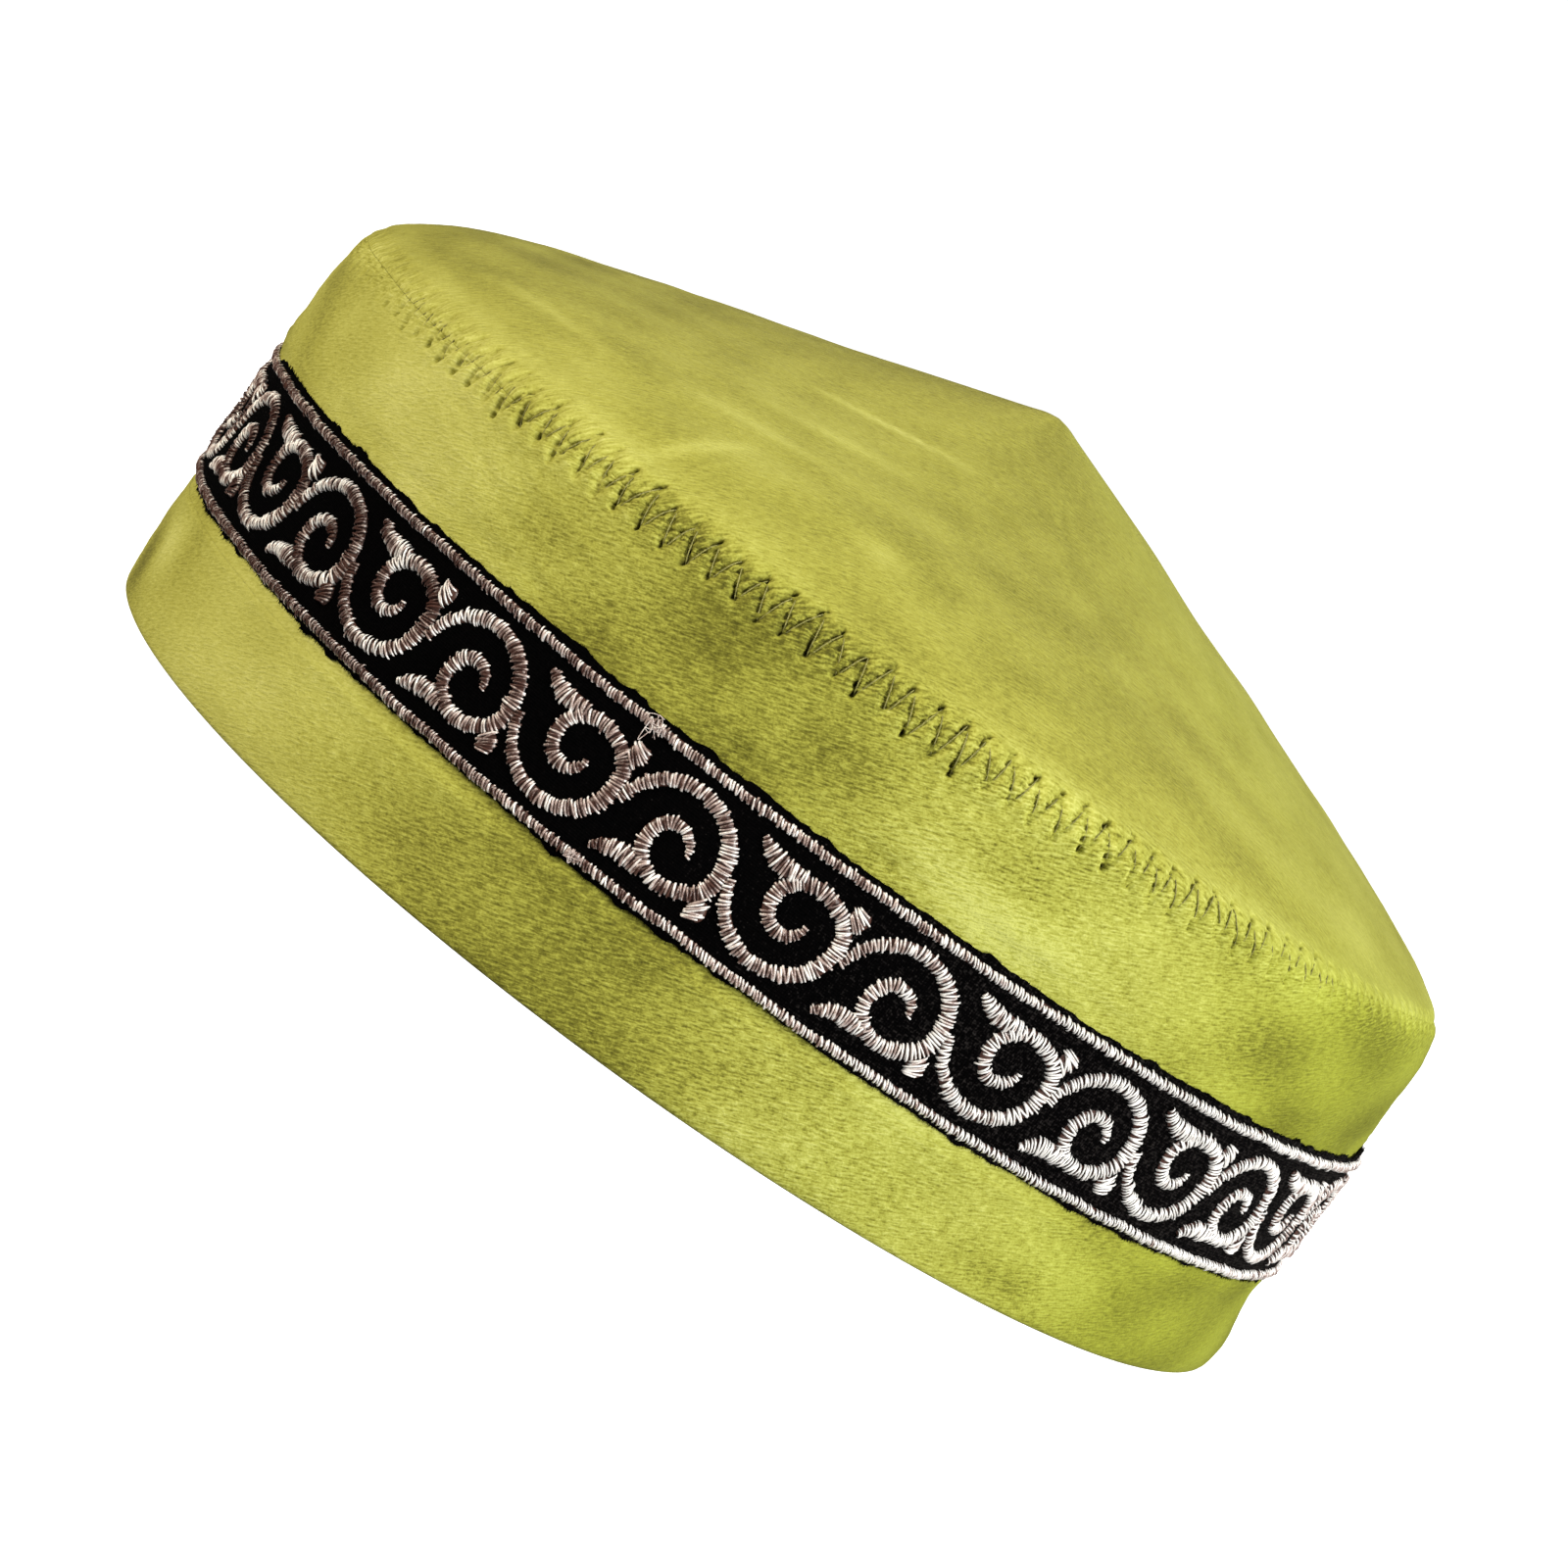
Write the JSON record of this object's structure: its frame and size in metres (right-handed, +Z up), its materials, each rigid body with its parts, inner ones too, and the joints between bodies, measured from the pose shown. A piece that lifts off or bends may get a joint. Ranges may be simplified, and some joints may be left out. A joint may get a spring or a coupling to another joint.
{
  "type": "skullcap",
  "caption": "Round cloth skullcap with an upright side, a low conical crown, zigzag shoulder seam and a black ribbon of vine scrolls.",
  "frame": {"origin": "middle of the rim, on the surface that the cap rests on", "axes": "+Z up through the crown's tip, -Y the front shown in the picture"},
  "size_m": [0.1888, 0.1888, 0.0926],
  "materials": {
    "velour": "olive-green cotton velour with a short brushed pile",
    "ribbon_black": "matte black woven band",
    "thread_silver": "rose-silver rayon thread in close satin stitch"
  },
  "bodies": {
    "root": {"side_wall": "velour", "crown": "velour", "ribbon": "ribbon_black", "border_lower": "thread_silver", "border_upper": "thread_silver", "vine_01": "thread_silver", "vine_02": "thread_silver", "vine_03": "thread_silver", "vine_04": "thread_silver", "vine_05": "thread_silver", "vine_06": "thread_silver", "vine_07": "thread_silver", "vine_08": "thread_silver", "vine_09": "thread_silver", "vine_10": "thread_silver", "vine_11": "thread_silver", "vine_12": "thread_silver", "vine_13": "thread_silver", "vine_14": "thread_silver", "vine_15": "thread_silver", "vine_16": "thread_silver", "vine_17": "thread_silver", "vine_18": "thread_silver", "vine_19": "thread_silver", "vine_20": "thread_silver", "vine_21": "thread_silver", "vine_22": "thread_silver", "vine_23": "thread_silver", "vine_24": "thread_silver", "vine_25": "thread_silver", "vine_26": "thread_silver", "vine_27": "thread_silver", "vine_28": "thread_silver", "vine_29": "thread_silver", "vine_30": "thread_silver", "vine_31": "thread_silver", "vine_32": "thread_silver", "vine_33": "thread_silver", "vine_34": "thread_silver", "vine_35": "thread_silver", "vine_36": "thread_silver"}
  },
  "joints": []
}
